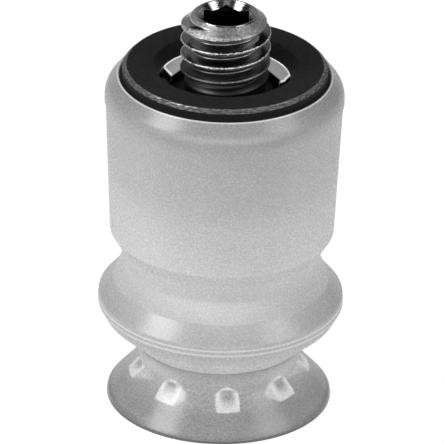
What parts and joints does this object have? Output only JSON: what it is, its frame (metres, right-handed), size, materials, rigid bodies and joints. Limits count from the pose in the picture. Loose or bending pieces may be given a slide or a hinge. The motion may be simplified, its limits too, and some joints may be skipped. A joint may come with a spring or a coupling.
{
  "type": "bellows vacuum suction cup",
  "caption": "Round bellows suction cup in translucent silicone with a rolled fold, cleats inside the lip, a black support ring and a hollow threaded stud.",
  "frame": {"origin": "centre of the lip's sealing edge, on the surface that the cup stands on", "axes": "+Z along the cup's axis, from the lip towards the end of the threaded stud; two corners of the hex flange lie along X"},
  "size_m": [0.011, 0.011, 0.0188],
  "materials": {
    "silicone": "translucent, satin",
    "clear_silicone": "translucent, glossy",
    "black_ring": "matte with a worn edge",
    "plated_steel": "turned and plated"
  },
  "bodies": {
    "head": {"threaded_stud": "plated_steel", "support_ring": "black_ring", "cup_head": "silicone", "bellows_upper_wall": "silicone"},
    "crest": {"crest_ring": "silicone", "bellows_lower_wall": "silicone"},
    "neck": {"neck_ring": "silicone", "neck_flexure": "silicone"},
    "lip": {"lip_skirt": "silicone", "lip_cleat_1": "clear_silicone", "lip_cleat_2": "clear_silicone", "lip_cleat_3": "clear_silicone", "lip_cleat_4": "clear_silicone", "lip_cleat_5": "clear_silicone", "lip_cleat_6": "clear_silicone", "lip_cleat_7": "clear_silicone", "lip_cleat_8": "clear_silicone"}
  },
  "joints": [
    {"name": "upper_fold", "type": "slide", "parent": "head", "child": "crest", "axis": [0, 0, 1], "range_m": [0, 0.0012], "stiffness_N_per_m": 900, "deforming": ["bellows_upper_wall"]},
    {"name": "lower_fold", "type": "slide", "parent": "crest", "child": "neck", "axis": [0, 0, 1], "range_m": [0, 0.001], "deforming": ["bellows_lower_wall"]},
    {"name": "lip_tilt", "type": "hinge", "parent": "neck", "child": "lip", "pos_m": [0, 0, 0.00207], "axis": [1, 0, 0], "range_deg": [-10, 10], "stiffness_Nm_per_rad": 0.01, "deforming": ["neck_flexure"]}
  ],
  "couplings": [
    {"joint": "lower_fold", "follows": "upper_fold", "ratio": 0.8333}
  ]
}
